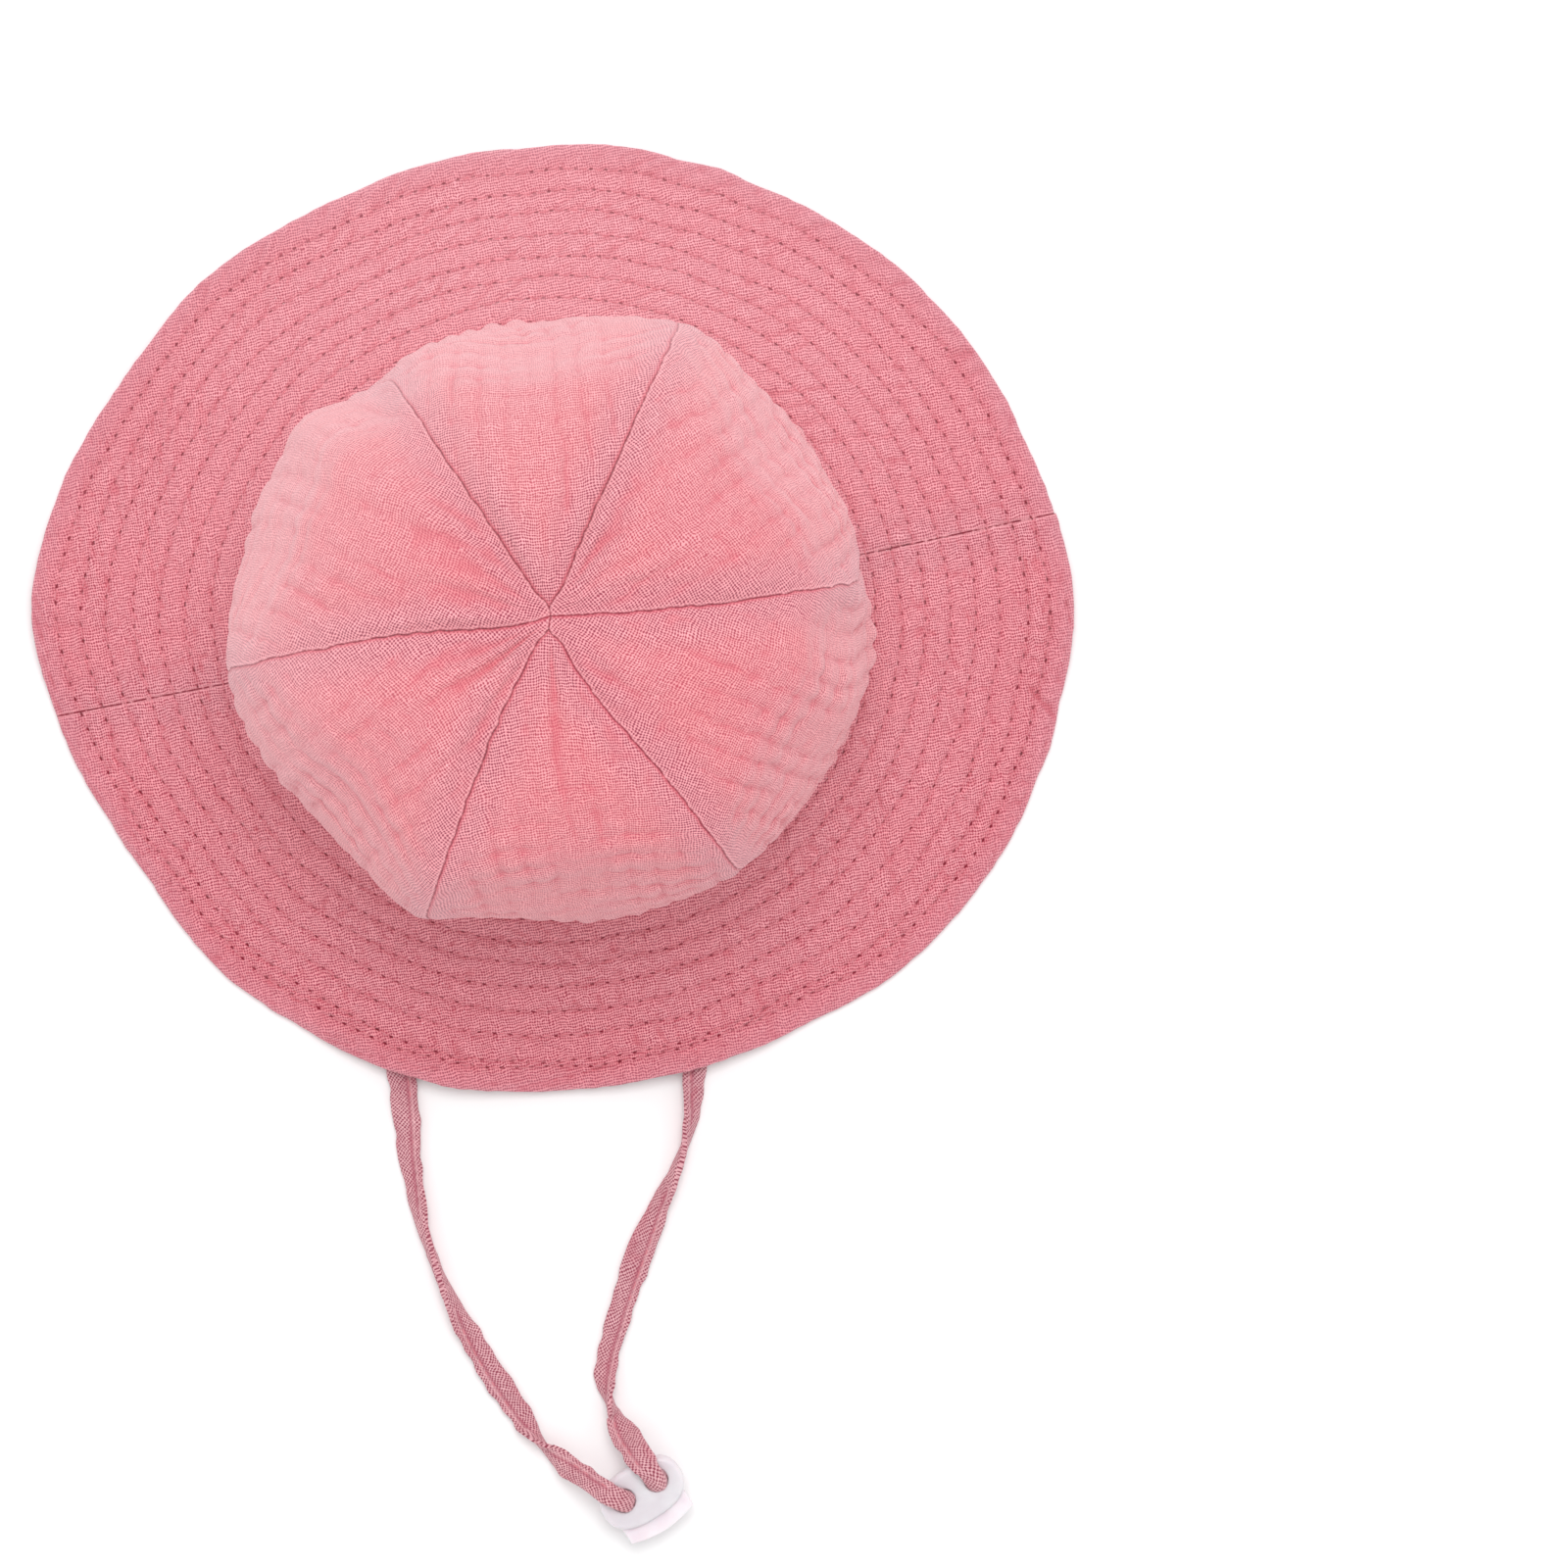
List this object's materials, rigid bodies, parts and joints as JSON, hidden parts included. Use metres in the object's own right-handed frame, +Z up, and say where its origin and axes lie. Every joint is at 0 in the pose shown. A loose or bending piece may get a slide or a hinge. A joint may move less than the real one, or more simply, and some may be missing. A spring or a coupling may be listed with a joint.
{
  "type": "baby bucket hat",
  "caption": "Soft muslin bucket hat for a baby, with a six-panel crown, a quilted brim and a chin strap in a cord lock.",
  "frame": {"origin": "centre of the hat's footprint, without the strap, on the surface that it rests on", "axes": "+X through the side seams of the brim, at the ears; -Y the side where the strap comes out; +Z up through the crown"},
  "size_m": [0.2687, 0.3636, 0.1161],
  "materials": {
    "crown_muslin": "crinkled double gauze cotton",
    "brim_muslin": "quilted double gauze cotton",
    "strap_muslin": "folded double gauze cotton",
    "toggle_plastic": "smooth translucent white"
  },
  "bodies": {
    "hat": {"crown_panel_1": "crown_muslin", "crown_panel_2": "crown_muslin", "crown_panel_3": "crown_muslin", "crown_panel_4": "crown_muslin", "crown_panel_5": "crown_muslin", "crown_panel_6": "crown_muslin", "brim_back": "brim_muslin", "brim_front": "brim_muslin", "chin_strap": "strap_muslin", "toggle_body": "toggle_plastic"},
    "button": {"toggle_button": "toggle_plastic"}
  },
  "joints": [
    {"name": "button_press", "type": "slide", "parent": "hat", "child": "button", "axis": [-0.3697, 0.9291, 0], "range_m": [0, 0.0018], "stiffness_N_per_m": 400, "springref_m": -0.006}
  ]
}
